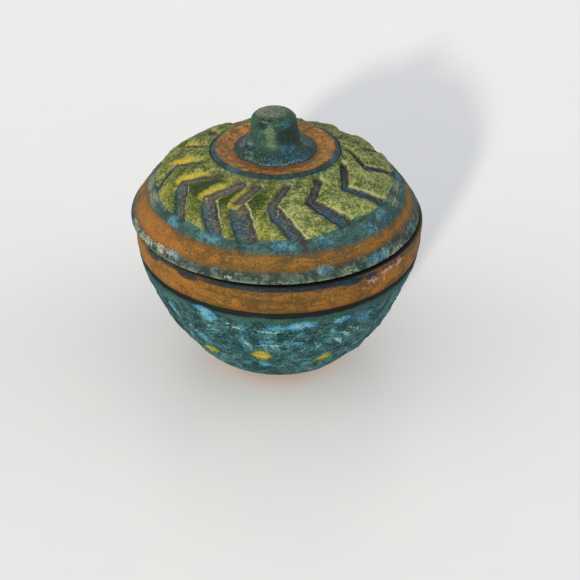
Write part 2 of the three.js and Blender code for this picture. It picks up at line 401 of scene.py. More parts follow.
bowl = {"radius": 56.6, "height": 65, "wall": 5.4, "floor": 5.5, "base": 24, "innerBase": 20.5, "foot": 2.5,
        "widestBelow": 8.4, "upper": 1.4, "lower": 0.572, "band": 11.7, "bandLean": 0.1, "line": 2.5,
        "lineDepth": 1.1, "rimRound": 1.9, "segments": 420,
        "flatDepth": 0.62, "flatUneven": 0.26, "flatDrift": 1.4, "wallFrom": (5, 12), "bandTo": (59, 62.5),
        "wallLumps": (4.6, 1.2), "wallGrain": (1.8, 0.5), "bandWaves": (9, 0.4), "bandGrain": (1.6, 0.14),
        "bumpFull": 0.4, "skin": 2.2, "paintDepth": 3.2, "wallSpots": 51, "bandSpots": 56,
        "strip": (62.4, 63.3), "rimGapShade": (64.2, 64.7), "bareUnder": (5, 6.2), "bandEdge": 0.25,
        "teal": rgb(26, 70, 72), "midTeal": rgb(15, 50, 54), "deepTeal": rgb(12, 36, 40),
        "greenGrey": rgb(46, 78, 70), "turquoise": rgb(72, 138, 152), "blue": rgb(52, 130, 180),
        "pale": rgb(146, 186, 190), "ochre": rgb(115, 81, 31), "ochreDark": rgb(78, 58, 26),
        "ochreLight": rgb(138, 96, 40), "litOrange": rgb(144, 94, 36), "gapShade": rgb(5, 9, 8),
        "lineGreen": rgb(14, 26, 23), "rimBlue": rgb(9, 27, 37), "rimLight": rgb(40, 78, 94),
        "chip": rgb(170, 146, 132), "gold": rgb(180, 162, 52), "dabGreen": rgb(108, 122, 46),
        "dabDark": rgb(62, 72, 24)}
bandLow = bowl["height"] - bowl["band"]
lineLow = bandLow - bowl["line"]

# dabs of yellow paint low on the wall, one every 27 degrees or so
dabs = [(-98, 27.4, 4.4, 3.4), (-125.3, 23, 4.2, 2.8), (-68.3, 23.2, 4.3, 2.7, 1, 24)]
dabs += [(-68.3 + 27.5 * k, 24 + 2 * math.sin(k * 2.1), 4, 2.9, 1, 14 * math.sin(k * 1.3))
         for k in range(2, 11)]

# smears of brighter blue, darker hollows and pale streaks on the wall
smears = [
    (-119, 48.4, 3.2, 5, 1.4, 38), (-81.3, 46.7, 5.4, 2, 1.5), (-65, 46.4, 3.6, 1.7, 1.3, 8),
    (-91, 45.6, 4, 1.9, 0.9, -8), (-95.7, 36.4, 3.4, 2.2, 0.8), (-97, 20.3, 3.2, 2.4, 0.9),
    (-141, 39, 2.2, 5, 0.9, 20), (-126, 32, 1.8, 4.6, 0.8, 30), (-53, 43, 4.2, 3, 0.7, 14),
    (-84, 36, 5, 1.6, 0.7), (-76, 19.5, 4.5, 1.5, 0.8, 5), (-105, 44, 2.6, 3.2, 0.6)]
smears += [(-30 + 23 * k + 8 * math.sin(k * 3.3), 33 + 13 * math.sin(k * 1.7),
            4.4, 2.3, 0.9, 9 * math.sin(k)) for k in range(11)]
shades = [
    (-111, 32.2, 4.5, 3.6), (-105.7, 26.8, 3, 2, 0.9), (-125.4, 35.7, 2.5, 4, 0.9, 20),
    (-76, 41, 4, 2.2, 0.7), (-50, 36, 3.2, 4, 0.8), (-86, 27, 5, 2, 0.5)]
shades += [(-25 + 28 * k + 9 * math.sin(k * 2.3), 31 + 11 * math.sin(k * 1.3 + 1),
            4.4, 3, 0.8) for k in range(9)]
lights = [
    (-92.7, 43.2, 7, 0.7), (-93.5, 34.6, 6.5, 0.7, 1, 3), (-107.3, 43.4, 3, 1.1),
    (-103, 34, 1, 3.6, 0.8, 32), (-64, 34, 1.2, 4.5, 0.9, 40), (-60.5, 36, 1, 5, 0.9, 46),
    (-57, 37.5, 0.9, 5, 0.8, 50), (-48, 23, 2.6, 2.2, 0.8, 30), (-110, 45, 2, 0.6, 0.9)]
lights += [(-35 + 21 * k + 6 * math.sin(k * 2.7), 34 + 12 * math.sin(k * 2.2),
            6, 0.8, 0.9, 12 * math.sin(k * 1.9)) for k in range(12)]

# bare chips, blots of blue, and stretches of the band painted lighter and warmer as more light falls there
chips = [
    (-53.6, 60.6, 3.4, 1.5), (-46, 62.2, 3.6, 1.2), (-38.7, 62.4, 3, 1.9), (-47, 59.2, 1, 1.6, 0.8),
    (-57.5, 58.6, 1.3, 0.8, 0.8), (30, 62.5, 3, 1.2), (95, 62, 2.4, 1.4), (160, 62.4, 3, 1.1)]
blots = [
    (-145.6, 63, 4, 2, 1.1), (-126.2, 63.4, 5, 2, 1.1), (-136, 64, 9, 0.9), (-62, 63, 5, 1.5),
    (-54, 62.8, 3, 1.4), (10, 63.8, 6, 1.6), (60, 63.8, 9, 1.3, 0.9), (120, 63.8, 6, 1.8),
    (175, 63.8, 8, 1.4)]
bowlBandLight = [
    (-142, 58, 24, 6), (-108, 57, 9, 3, 0.7), (-68, 56.5, 9, 2.5, 0.8), (-46, 58, 10, 6, 0.8),
    (-20, 58, 12, 6, 0.8), (60, 58, 20, 5, 0.7), (140, 58, 20, 5, 0.7)]

# how clearly the dark strip shows under the rim, by angle
stripParts = [
    (-180, 0.3), (-150, 0.3), (-126, 0.35), (-112, 1), (-62, 1), (-52, 0.4), (-30, 0.3), (60, 0.8),
    (180, 0.3)]


def swell(z, low, lowRadius, radius):
    top = bowl["height"] - bowl["widestBelow"]
    t = min(1, max(0, (z - low) / (top - low)))
    return lowRadius + (radius - lowRadius) * (1 - (1 - t) ** bowl["upper"]) ** bowl["lower"]


def bowlOutside(z):
    return swell(z, bowl["foot"], bowl["base"], bowl["radius"])


def bowlInside(z):
    return swell(z, bowl["foot"] + bowl["floor"], bowl["innerBase"], bowl["radius"] - bowl["wall"])


def bowlProfile():
    low, high, turn = bowl["foot"], bowl["height"], bowl["rimRound"]
    mouth = bowl["radius"] - bowl["wall"]
    floorZ = low + bowl["floor"]
    points = [(0, low), (12, low), (20, low)]
    for t in steps(0, 1, 84):
        z = low + (lineLow - low) * (0.3 * t * t + 0.7 * t)
        points.append((bowlOutside(z), z))
    for t in steps(0.08, 0.92, 10):      # the incised line under the band
        z = lineLow + bowl["line"] * t
        points.append((bowlOutside(z) - bowl["lineDepth"] * math.sin(math.pi * t) ** 0.6, z))
    for t in steps(0, 1, 24):
        z = bandLow + (high - turn - bandLow) * t
        points.append((bowlOutside(z) - bowl["bandLean"] * t, z))
    for t in steps(0.12, 1, 8):
        a = t * math.pi / 2
        r = bowl["radius"] - bowl["bandLean"] - turn * (1 - math.cos(a))
        points.append((r, high - turn + turn * math.sin(a)))
    points += [(mouth + 2, high), (mouth + 0.8, high), (mouth + 0.2, high - 0.5), (mouth, high - 1.4)]
    for t in steps(0.95, 0, 34):
        z = floorZ + (high - floorZ) * t ** 1.25
        points.append((bowlInside(z), z))
    return points + [(14, floorZ), (8, floorZ), (0, floorZ)]


# rows of uneven flats on the wall, as a knife leaves them: place of the row on the wall, and how many
flatRows = [(0.2, 16), (0.37, 19), (0.55, 21), (0.73, 22)]


def flatsSink(at):
    low = bowl["foot"]
    sink = np.zeros(len(at))
    for row, (share, count) in enumerate(flatRows):
        for k in range(count):
            a = (k + 0.5 * (row % 2) + 0.22 * math.sin(7.1 * k + 3.7 * row)) * 2 * math.pi / count
            z = low + (lineLow - low) * share + bowl["flatDrift"] * math.sin(5.3 * k + 2.1 * row)
            slope = bowlOutside(z + 0.5) - bowlOutside(z - 0.5)
            normal = np.array([math.cos(a), math.sin(a), -slope])
            normal /= np.linalg.norm(normal)
            centre = np.array([bowlOutside(z) * math.cos(a), bowlOutside(z) * math.sin(a), z])
            deep = bowl["flatDepth"] + bowl["flatUneven"] * math.sin(3.7 * k + 5.3 * row)
            sink = np.maximum(sink, (at - centre) @ normal + deep)
    return np.minimum(sink, 1)


def wallColour(f, fine, patch, other, broad, sweeps, hairs, wander):
    # the wall, from its ground to the dabs
    bumps = f.mask("bumps")
    wall = f.coat(bowl["midTeal"], bowl["teal"], other * 0.6 + patch * 0.4, 0.36, 0.6)
    wall = f.coat(wall, bowl["greenGrey"], broad + patch.by(0.5), 0.46, 0.62, 0.6)
    calm = f.rise(f.h + wander, lineLow - 5, lineLow - 1.2)
    wall = f.mix(calm * 0.4, wall, bowl["greenGrey"])
    wall = f.coat(wall, bowl["deepTeal"], f.mask("shades") + patch.by(1.2), 0.35, 1, 0.55)
    dry = f.rise(patch * 0.25 + sweeps * 0.25 + hairs * 0.2 + fine * 0.3 + bumps * 0.1, 0.49, 0.6)
    wall = f.mix(dry * (1 - 0.7 * calm) * 0.3, wall, bowl["turquoise"])
    smear = f.rise(f.mask("smears") + fine.by(0.9) + sweeps.by(0.7) + patch.by(0.6), 0.3, 1)
    blues = f.coat(bowl["blue"], bowl["turquoise"], other * 0.5 + sweeps * 0.5, 0.42, 0.6)
    wall = f.mix(smear * 0.8, wall, blues)
    gleam = f.rise(f.mask("smears") + fine.by(1.6) + hairs.by(1.8), 1.05, 1.7)
    wall = f.mix(gleam * 0.4, wall, bowl["pale"])
    wall = f.coat(wall, bowl["pale"], f.mask("lights") + fine.by(1.4) + hairs.by(1.4), 0.45, 1.1, 0.85)
    swirl = f.noise(6, 1, 0.5, 1.6)
    wisps = f.fall(swirl.ridge() + fine.by(0.05), 0, 0.028)
    wisps = wisps * f.rise(other * 0.4 + fine * 0.6, 0.44, 0.56)
    wall = f.mix(wisps * 0.6 * (1 - calm), wall, bowl["pale"])
    curl = f.noise(3.1, 1, 0.5, 1.3)
    flicks = f.fall(curl.ridge() + fine.by(0.06), 0, 0.04)
    flicks = flicks * f.rise(other * 0.5 + patch * 0.5, 0.47, 0.56)
    wall = f.mix(flicks * 0.6 * (1 - calm), wall, bowl["turquoise"])
    specks = f.rise(hairs * 0.4 + fine * 0.6, 0.58, 0.66)
    wall = f.mix(specks * 0.22 * (1 - 0.7 * calm), wall, bowl["pale"])
    hollows = hairs * 0.3 + sweeps * 0.3 + fine * 0.4 + bumps * 0.12
    wall = f.pool(wall, bowl["deepTeal"], hollows, 0.38, 0.48, 0.7)
    dab = f.rise(f.mask("dabs") + patch.by(0.6) + fine.by(0.8), 0.3, 0.62)
    ripe = f.rise(f.mask("dabs") + patch.by(1.2) + fine.by(0.8), 0.5, 1)
    dabTone = f.mix(ripe, bowl["dabGreen"], bowl["gold"])
    dabTone = f.coat(dabTone, bowl["dabDark"], hairs * 0.5 + fine * 0.5, 0.47, 0.58, 0.8)
    wall = f.mix(dab * 0.92, wall, dabTone)
    return wall


def bowlBandColour(f, fine, patch, other, broad, wander):
    # the ochre band and the dark strip under the rim
    brush = f.streaks(13, 1.5, f.h, 2, 0.5)
    band = f.coat(bowl["ochreDark"], bowl["ochre"], brush * 0.5 + patch * 0.2 + fine * 0.3, 0.36, 0.58)
    # painted light: the band lighter and more orange where more light falls on it
    litBand = f.rise(f.mask("warm") + broad.by(1) + patch.by(0.6) + fine.by(0.8), 0.15, 1)
    band = f.mix(litBand * 0.75, band, bowl["litOrange"])
    band = f.pool(band, bowl["ochreDark"], brush * 0.35 + fine * 0.65, 0.38, 0.48, 0.6)
    band = f.pool(band, bowl["ochreDark"], other * 0.5 + patch * 0.5, 0.42, 0.52, 0.6)
    band = f.coat(band, bowl["ochreLight"], brush * 0.3 + fine * 0.7, 0.53, 0.63, 0.6)
    edges = f.fall(f.h + wander * 0.4, bandLow + 0.2, bandLow + 2)
    band = f.mix(edges * 0.5, band, bowl["ochreDark"])
    blot = f.rise(f.mask("blots") + patch.by(1.2) + fine.by(0.6), 0.42, 0.72)
    strip = f.rise(f.h + wander * 0.5 + patch.by(1.6) + fine.by(0.8), *bowl["strip"]) * f.mask("strip")
    navy = f.coat(bowl["rimBlue"], bowl["deepTeal"], patch, 0.45, 0.62)
    navy = f.coat(navy, bowl["rimLight"], brush * 0.4 + fine * 0.6, 0.52, 0.64, 0.5)
    band = f.mix(strip * 0.94, band, navy)
    band = f.mix(blot * 0.85, band, f.coat(bowl["rimBlue"], bowl["midTeal"], patch, 0.45, 0.62))
    band = f.coat(band, bowl["chip"], f.mask("chips") + fine.by(2) + patch.by(1.6), 0.5, 1.1, 0.7)
    return band


def bowlPaint():
    f = Finish("bowlPaint")
    fine = f.noise(0.8, 2, 0.55)
    patch = f.noise(3.4, 3, 0.55, 0.9)
    other = f.noise(7, 2, 0.5, 0.6)
    broad = f.noise(14, 2)
    sweeps = f.streaks(5, 1.7, f.h, 3, 1.2)
    hairs = f.streaks(4, 0.55, f.h, 2, 1.2)
    wander = f.noise(6).by(1.6)
    wall = wallColour(f, fine, patch, other, broad, sweeps, hairs, wander)
    band = bowlBandColour(f, fine, patch, other, broad, wander)

    # both in place, with the incised line, the rim top painted black as shade under the lid, and the bare
    # underside
    onBand = f.rise(f.h + wander * 0.3, bandLow - bowl["bandEdge"], bandLow + bowl["bandEdge"])
    colour = f.mix(onBand, wall, band)
    line = f.rise(f.h + wander * 0.5, lineLow - 0.15, lineLow + 0.35) * (1 - onBand)
    colour = f.mix(line, colour, bowl["lineGreen"])
    # painted shade: the rim's top goes black in the gap under the lid
    colour = f.coat(colour, bowl["gapShade"], f.h, *bowl["rimGapShade"])
    under = f.fall(f.h + wander * 0.6, *bowl["bareUnder"])
    colour = f.mix(under, colour, f.coat(clay["dark"], clay["mid"], patch, 0.35, 0.65))
    rough = 0.55 + 0.25 * fine + 0.1 * under
    return f.finish(colour, rough, fine * 0.6 + sweeps * 0.5 + hairs * 0.3 + patch * 0.6, 0.6, 0.35, 0.14)


def makeBowl():
    piece = spinPiece("bowlBody", bowlProfile(), bowl["segments"])
    at, radius, angle = places(piece)
    z = at[:, 2]
    shell = np.array([bowlOutside(v) for v in z])
    outer = (radius > shell - bowl["skin"]) & (z > bowl["foot"] + 0.01)
    wall = outer * ease(z, *bowl["wallFrom"]) * easeDown(z, lineLow - 2.5, lineLow)
    band = outer * ease(z, lineLow, lineLow + 2) * easeDown(z, *bowl["bandTo"])
    press(piece, "flats", flatsSink(at) * wall, 1)
    before = places(piece)[1]
    roughen(piece, "wallLumps", bowl["wallLumps"], wall, bothWays)
    roughen(piece, "wallGrain", bowl["wallGrain"], wall, bothWays)
    setMask(piece, "bumps", np.clip((places(piece)[1] - before) / bowl["bumpFull"], -1, 1))
    roughen(piece, "bandWaves", bowl["bandWaves"], band)
    roughen(piece, "bandGrain", bowl["bandGrain"], band)
    for name, spots in (("dabs", dabs), ("smears", smears), ("shades", shades), ("lights", lights)):
        setMask(piece, name, spotMask(angle, z, spots, bowl["wallSpots"]) * outer)
    for name, spots in (("chips", chips), ("blots", blots), ("warm", bowlBandLight)):
        setMask(piece, name, spotMask(angle, z, spots, bowl["bandSpots"]) * outer)
    setMask(piece, "strip", byAngle(angle, stripParts))
    piece.data.materials.append(bowlPaint())

    def bare(c):
        r = math.hypot(c.x, c.y)
        return c.z > bowl["foot"] + 1 and r < bowlOutside(c.z) - bowl["paintDepth"]
    paintFaces(piece, bareClay, bare)
    settle(piece, "bowl", "bowl_body")


# foot

foot = {"outer": 23, "inner": 16.5, "height": 2.5, "taper": 0.9, "round": 0.45, "segments": 160}


def makeFoot():
    outer, inner, top = foot["outer"], foot["inner"], foot["height"]
    taper, turn = foot["taper"], foot["round"]
    profile = [(inner + taper * t, top - (top - turn) * t) for t in steps(0, 1, 5)]
    profile += [(inner + taper + 0.12, 0.2), (inner + taper + 0.5, 0)]
    profile += [(r, 0) for r in steps(inner + taper + 1, outer - taper - 1, 4)]
    profile += [(outer - taper - 0.5, 0), (outer - taper - 0.12, 0.2)]
    profile += [(outer - taper + taper * t, turn + (top - turn) * t) for t in steps(0, 1, 5)]
    profile.append(profile[0])
    piece = spinPiece("footRing", profile, foot["segments"])
    piece.data.materials.append(bareClay)
    settle(piece, "bowl", "foot_ring")


# lid

lid = {"radius": 56.4, "rise": 25.3, "power": 3.17, "edge": 0.82, "edgeLift": 0.6, "hollowPower": 4,
       "lip": 1.3, "gap": 0.9, "thick": 6.2, "seat": 65, "seatOuter": 53.6, "land": 1.3, "landOuter": 48.6,
       "bevel": 0.8, "plate": 25, "plateGap": 0.06, "plateSink": 1.2, "segments": 600,
       "flangeOuter": 49, "flangeInner": 45.8, "flangeHeight": 5.5, "flangeSegments": 192,
       "strokeDepth": 2.5, "strokeEdge": 1.5, "strokeInner": 27.6, "strokeOuter": 48.8, "strokeFull": 36,
       "wornEdge": 2.4, "slopeFar": 3, "slopeNear": 7.5, "slopeOut": 3, "leanFrom": -85, "wall": 0.6,
       "landLumps": (5, 0.8), "landGrain": (1.4, 0.4), "bandWaves": (8, 0.45), "bandGrain": (1.6, 0.16),
       "bumpFull": 0.25, "darkFrom": (27.5, 30.5), "darkTo": (38, 41.5), "brimFrom": (66.6, 68.5),
       "ringSpots": 48, "bandSpots": 52, "shadeSpots": 42, "landSpots": 44, "lipSpots": 55,
       "lipFrom": 53, "ringTo": 49, "collar": (25.4, 26.9), "bandFrom": (49.6, 50.9),
       "bandTo": (53.6, 54.6), "clearFrom": (50.2, 51.6), "clearTo": (52.8, 54), "paleLip": (66.5, 67.1),
       "lipGapShade": (65.75, 66.1),
       "olive": rgb(98, 110, 58), "leaf": rgb(126, 138, 88), "moss": rgb(107, 110, 34),
       "darkGreen": rgb(36, 56, 12), "straw": rgb(168, 169, 103), "gold": rgb(190, 170, 58),
       "worn": rgb(166, 164, 120), "grooveGrey": rgb(94, 92, 82), "grooveDark": rgb(36, 40, 42),
       "grooveBrown": rgb(106, 98, 82), "grooveBlue": rgb(46, 74, 86), "grooveTeal": rgb(56, 86, 88),
       "grooveSpeck": rgb(140, 136, 122), "slate": rgb(48, 58, 66), "deepBlue": rgb(38, 76, 112),
       "teal": rgb(62, 90, 86), "deepTeal": rgb(38, 60, 58), "turquoise": rgb(88, 142, 152),
       "blue": rgb(60, 108, 136), "ringPale": rgb(140, 144, 108), "stain": rgb(52, 46, 40),
       "ochre": rgb(121, 89, 38), "ochreDark": rgb(80, 62, 31), "ochreLight": rgb(144, 99, 43),
       "litOrange": rgb(154, 99, 39), "lipGreen": rgb(62, 80, 72), "lipPale": rgb(122, 132, 112),
       "lipDark": rgb(38, 52, 48), "white": rgb(172, 174, 154)}

# each carved stroke: elbow angle and radius, sweep to its inner end and to its outer end, half width of the
# inner arm, of the outer arm by the elbow and at its end, ridge across the elbow, and how strongly its far
# edge is painted yellow as lit
strokes = [(-201, 38, 9, 14, 1.4, 2.0, 2.0, 0.2, 0.8),
           (-176.5, 38.5, 11, 12.5, 1.2, 2.2, 2.0, 0.3, 1.5),
           (-154.8, 38.8, 15.8, 18, 1.9, 3.2, 2.6, 0.5, 1),
           (-130.9, 38.3, 14.4, 14.8, 2.2, 3.5, 2.9, 0.6, 0.85),
           (-112.3, 37.4, 8.2, 11, 1.9, 4.3, 3.8, 1, 0.7),
           (-92.5, 36.8, 10.8, 13.6, 1.8, 2.8, 2.8, 0.2, 0.3),
           (-69.4, 35.8, 14.6, 17, 1.7, 2.4, 3.0, 0, 0.2),
           (-43, 35, 20.5, 17.2, 1.6, 1.9, 2.2, 0, 0.45),
           (-12.6, 35, 17, 15.5, 1.6, 1.8, 2.0, 0, 0.3),
           (14, 36, 13, 14, 1.7, 2.3, 2.2, 0.2, 0.4),
           (39, 37, 14, 15, 1.7, 2.7, 2.4, 0.4, 0.6),
           (64, 37.5, 14, 14, 1.8, 2.9, 2.6, 0.5, 0.4),
           (89, 37, 13, 14, 1.8, 2.5, 2.4, 0.3, 0.5),
           (113, 37.5, 12, 13, 1.7, 2.8, 2.5, 0.5, 0.7),
           (136, 37, 13, 13, 1.7, 2.5, 2.3, 0.3, 0.6)]

# by angle: how dark the lands are painted inside the elbows as shade, how grey the strokes are, and how
# mossy the lands are
elbowPaintedShade = [
    (-180, 0.4), (-152, 0.5), (-144, 1), (-110, 1), (-98, 0.75), (-86, 0.15), (-50, 0.1), (0, 0.25),
    (90, 0.4), (180, 0.4)]
slateParts = [(-180, 0.3), (-110, 0.1), (-90, 0.5), (-72, 1), (0, 1), (60, 0.6), (180, 0.3)]
mossy = [(-180, 0.7), (-112, 0.85), (-92, 0.4), (-80, 0.1), (60, 0.1), (180, 0.7)]

# where the raised zone ends, by angle: the painted ring outside it is widest at the right
landEnds = [
    (-180, 46.6), (-155, 47.2), (-130, 47.7), (-110, 48.2), (-80, 47.7), (-66, 47), (-56, 45.9),
    (-38, 46.1), (-18, 45.9), (0, 46.3), (40, 47.2), (90, 47.6), (140, 47), (180, 46.6)]

# brighter blue on the ring and in the strokes (angle, radius), and on the lip (angle, height)
ringBlues = [
    (-118.5, 48.4, 6.5, 1.5), (-140, 48.8, 3.4, 1.5), (-86.5, 48.8, 6.5, 1.3),
    (-68.7, 48.4, 3.8, 1.4, 0.9), (-45.8, 49, 4.5, 1.4, 0.8), (-35, 48.2, 3.5, 2, 0.9),
    (-26, 47, 3, 1.5, 0.6), (-152, 38.6, 1.6, 1.5), (-92, 38.6, 1.2, 2, 0.9), (-41, 35.6, 2, 1.8, 1.4),
    (-35, 40.5, 3.6, 1.3, 1.4, -25), (-62, 41, 1.8, 1.6), (-58, 44, 2, 1.6, 0.9),
    (-9, 37.5, 2.6, 1.2, 1.2), (-3, 42, 2.8, 1.3, 1.2), (-88, 42, 1.5, 2, 0.9), (-106, 42, 2, 2.6, 0.6)]
ringBlues += [(2 + 25 * k + 7 * math.sin(k * 2.3), 48.5, 5.5, 1.4, 0.9) for k in range(8)]
lipBlues = [
    (-71.3, 69.4, 4.2, 1.5), (-47.1, 68, 6.5, 1.9), (-132.4, 68.8, 4.5, 1.6, 0.9),
    (-113, 69, 3, 1.2, 0.6)]
lipBlues += [(-20 + 31 * k + 7 * math.sin(k * 2.9), 68.5, 5, 1.5, 0.8) for k in range(7)]

# chips along the lip (angle, height)
lipChips = [
    (-139.5, 68.4, 4.4, 1.5, 1.1), (-149, 67.6, 6, 1.4, 1.1), (-162, 67.6, 6, 1.4, 0.9),
    (-133.6, 68.6, 3, 1.2, 0.9), (-107, 67.2, 2.4, 0.8), (-88, 66.9, 4, 0.6, 0.7), (-60, 67, 6, 0.7, 0.7),
    (-38, 67, 6, 0.8, 0.8), (40, 67, 5, 1), (100, 67.3, 6, 1)]

# stretches of the band painted lighter and warmer as more light falls there, patches of the lands painted
# lit and shaded, and pale, stained and chipped parts of the lands and the ring
lidBandLight = [
    (-148, 52, 26, 5), (-118, 52, 8, 3, 0.6), (-40, 52, 14, 4, 0.6), (-15, 52, 16, 4, 1.2),
    (60, 52, 22, 5, 0.8), (150, 52, 18, 5, 0.8)]
landPaintedLight = [
    (-158, 44.6, 3, 3.4, 0.6), (-166, 42, 3, 3, 0.5), (-30, 33, 3, 2.5, 0.45), (-44, 31, 2, 2.5, 0.4),
    (-120, 46.6, 3, 1.4, 0.5), (-96, 46, 4, 2, 0.5)]
ringPales = [
    (-178, 48.6, 7, 2), (-163, 48.4, 6, 1.6, 0.9), (-150, 48, 4, 1.2, 0.6), (-21, 48, 5, 2, 0.8),
    (-8, 47.6, 6, 2, 0.9), (70, 48, 6, 2, 0.8), (140, 48, 6, 2, 0.8)]
ringStains = [(-77.6, 48.8, 1.5, 2.4)]
landPaintedShade = [
    (-137, 42, 5, 6), (-117, 42, 4, 6, 0.9), (-160, 33, 6, 3, 0.6), (-100, 33, 5, 3, 0.7),
    (-72, 44.6, 6, 0.7), (30, 42, 6, 5, 0.7), (100, 42, 6, 5, 0.7), (160, 40, 6, 5, 0.7)]
landChips = [
    (-51.9, 44.6, 2.2, 0.5), (-65.3, 46.3, 3, 0.5), (-76, 46, 1.2, 0.6, 0.8), (-131.5, 38, 1.3, 1.4, 0.9),
    (-88.5, 38.2, 0.9, 1.6, 0.8)]


def dome(r):
    share = max(0, 1 - (r / lid["radius"]) ** lid["power"])
    return lid["seat"] + lid["edgeLift"] + lid["rise"] * share ** lid["edge"]


def hollow(r):
    top = dome(0) - lid["thick"] - lid["seat"]
    return lid["seat"] + top * (1 - (r / lid["flangeInner"]) ** lid["hollowPower"])


def landAbove(r):
    # how far the raised zone stands above the dome
    return lid["land"] * (1 - ease(r, lid["landOuter"], lid["landOuter"] + lid["bevel"]))


def lidProfile():
    seat, edge, lip, gap = lid["seat"], lid["radius"], lid["lip"], lid["gap"]
    points = [(0, hollow(0))] + [(r, hollow(r)) for r in steps(4, lid["flangeInner"], 20)]
    points += [(r, seat) for r in steps(lid["flangeInner"] + 1.2, lid["seatOuter"], 5)]
    points += [(edge - 2.2, seat + gap * 0.7), (edge - 1.6, seat + gap * 0.95)]
    points += [(edge - 1, seat + gap + 0.02), (edge - 0.5, seat + gap + 0.08)]
    points.append((edge - 0.15, seat + gap + 0.2))
    points += [(edge, seat + lip), (edge - 0.12, seat + lip + 0.3), (edge - 0.32, seat + lip + 0.62),
               (edge - 0.75, seat + lip + 1.1)]
    outside = lid["landOuter"] + lid["bevel"]
    for t in steps(0, 1, 22):
        r = edge - 1.2 + (outside - edge + 1.2) * t ** 1.15
        points.append((r, dome(r)))
    inside = lid["plate"] + lid["plateGap"]
    for r in steps(outside - 0.25, inside, 68):
        points.append((r, dome(r) + float(landAbove(r))))
    recess = dome(inside) + lid["land"] - lid["plateSink"]
    points.append((inside, recess + 0.6))
    return points + [(inside * share, recess) for share in (1, 0.8, 0.4, 0)]


def polar(angle, r):
    a = math.radians(angle)
    return np.array([lidAxis + r * math.cos(a), r * math.sin(a), dome(r) + lid["land"]])


def strokePath(stroke):
    # points along a stroke with a half width for each: inner end, elbow, outer end
    elbow, bend, inner, outer, slim, wide, last = stroke[:7]
    inside, outside = lid["strokeInner"], lid["strokeOuter"]
    path = []
    for t in steps(0, 1, 10):
        path.append((polar(elbow + inner * (1 - t) ** 1.15, inside + (bend - inside) * t), slim))
    for t in steps(0.1, 1, 9):
        half = slim + (wide - slim) * min(1, 6 * t) + (last - wide) * t
        path.append((polar(elbow + outer * t ** 0.9, bend + (outside - bend) * t), half))
    return path


def strokeField(at, radius):
    # for the nearest stroke: distance to its edge, place along it from 0 to 1, side across it from -1 to 1,
    # ridge and how strongly its far edge is painted yellow as lit; then the slopes down to all the strokes
    # together
    gap = np.full(len(at), 99.0)
    along, side, ridge, litYellow, slopes = np.zeros((5, len(at)))
    widen = 0.35 + 0.65 * ease(radius, lid["strokeInner"], lid["strokeFull"])
    x, y = at[:, 0], at[:, 1]
    wobble = 0.17 * np.sin(0.95 * x + 1.4 * np.sin(0.7 * y))
    wobble += 0.13 * np.sin(1.7 * y + 0.9 * np.sin(0.8 * x))
    for stroke in strokes:
        path = strokePath(stroke)
        own = np.full(len(at), 99.0)
        ownAlong, ownSide = np.zeros((2, len(at)))
        for k, ((a, wa), (b, wb)) in enumerate(zip(path, path[1:])):
            ab = b - a
            t = np.clip(((at - a) @ ab) / (ab @ ab), 0, 1)
            off = at - a - t[:, None] * ab
            half = wa + (wb - wa) * t
            reach = np.linalg.norm(off, axis=1)
            nearer = reach - half < own
            own[nearer] = (reach - half)[nearer]
            ownAlong[nearer] = (k + t[nearer]) / (len(path) - 1)
            turn = ab[0] * off[nearer, 1] - ab[1] * off[nearer, 0]
            ownSide[nearer] = np.sign(turn) * np.minimum(1, reach[nearer] / half[nearer])
        own += wobble
        near = ownSide > 0
        length = np.full(len(at), float(lid["wornEdge"]))
        if stroke[0] < lid["leanFrom"]:
            length = lid["slopeNear"] + (lid["slopeOut"] - lid["slopeNear"]) * ease(ownAlong, 0.47, 0.6)
            length = np.where(near, length, lid["slopeFar"])
        slope = np.clip(1 - own / (length * widen), 0, 1) ** np.where(near, 1.15, 1.4)
        slopes = np.maximum(slopes, slope)
        nearer = own < gap
        for kept, new in ((gap, own), (along, ownAlong), (side, ownSide)):
            kept[nearer] = new[nearer]
        ridge[nearer] = stroke[7]
        litYellow[nearer] = stroke[8]
    return gap, along, side, ridge, litYellow, slopes


def landColour(f, fine, patch, broad, wander, grain):
    # the raised lands: green ground, slopes painted dark as shade and yellow as light, worn edges and a
    # dark collar by the plate
    land = f.coat(lid["olive"], lid["leaf"], patch * 0.6 + broad * 0.4, 0.4, 0.6)
    moss = f.mask("moss")
    land = f.mix(moss * 0.75, land, lid["moss"])
    clumps = f.noise(1.9, 2, 0.55, 0.5)
    land = f.pool(land, lid["darkGreen"], clumps, 0.38, 0.5, 0.4)
    land = f.mix(f.fall(grain, 0.36, 0.53) * (0.72 - 0.3 * moss), land, lid["darkGreen"])
    land = f.mix(f.rise(grain * 0.7 + clumps * 0.3, 0.48, 0.6) * (0.72 - 0.25 * moss), land, lid["straw"])
    # painted shade: darker patches on the lands, strongest at the front left
    land = f.coat(land, lid["darkGreen"], f.mask("shades") + patch.by(1.2), 0.3, 1, 0.35)
    # painted shade: dark green on the land slopes inside the elbows, which face away from the light
    paintedShade = f.rise(f.mask("paintedShadeSlope") + patch.by(0.6) - grain.by(1.8), 0.15, 0.9)
    land = f.mix(paintedShade * 0.92, land, lid["darkGreen"])
    # painted light: yellow on the land slopes that face the front left, where the light falls
    paintedLight = f.rise(f.mask("paintedLitSlope") + patch.by(1) + grain.by(0.9), 0.25, 1)
    litYellow = f.coat(lid["gold"], lid["moss"], patch * 0.4 + fine * 0.6, 0.44, 0.6, 0.6)
    land = f.mix(paintedLight * 0.9, land, litYellow)
    rim = f.mask("edge") + fine.by(0.8) + patch.by(1)
    land = f.coat(land, lid["worn"], rim, 0.5, 0.95, 0.8)
    collar = f.fall(f.r + wander * 0.3 + fine.by(0.8), *lid["collar"])
    land = f.mix(collar * f.rise(patch + fine * 0.4, 0.5, 0.85) * 0.7, land, lid["deepTeal"])
    return land


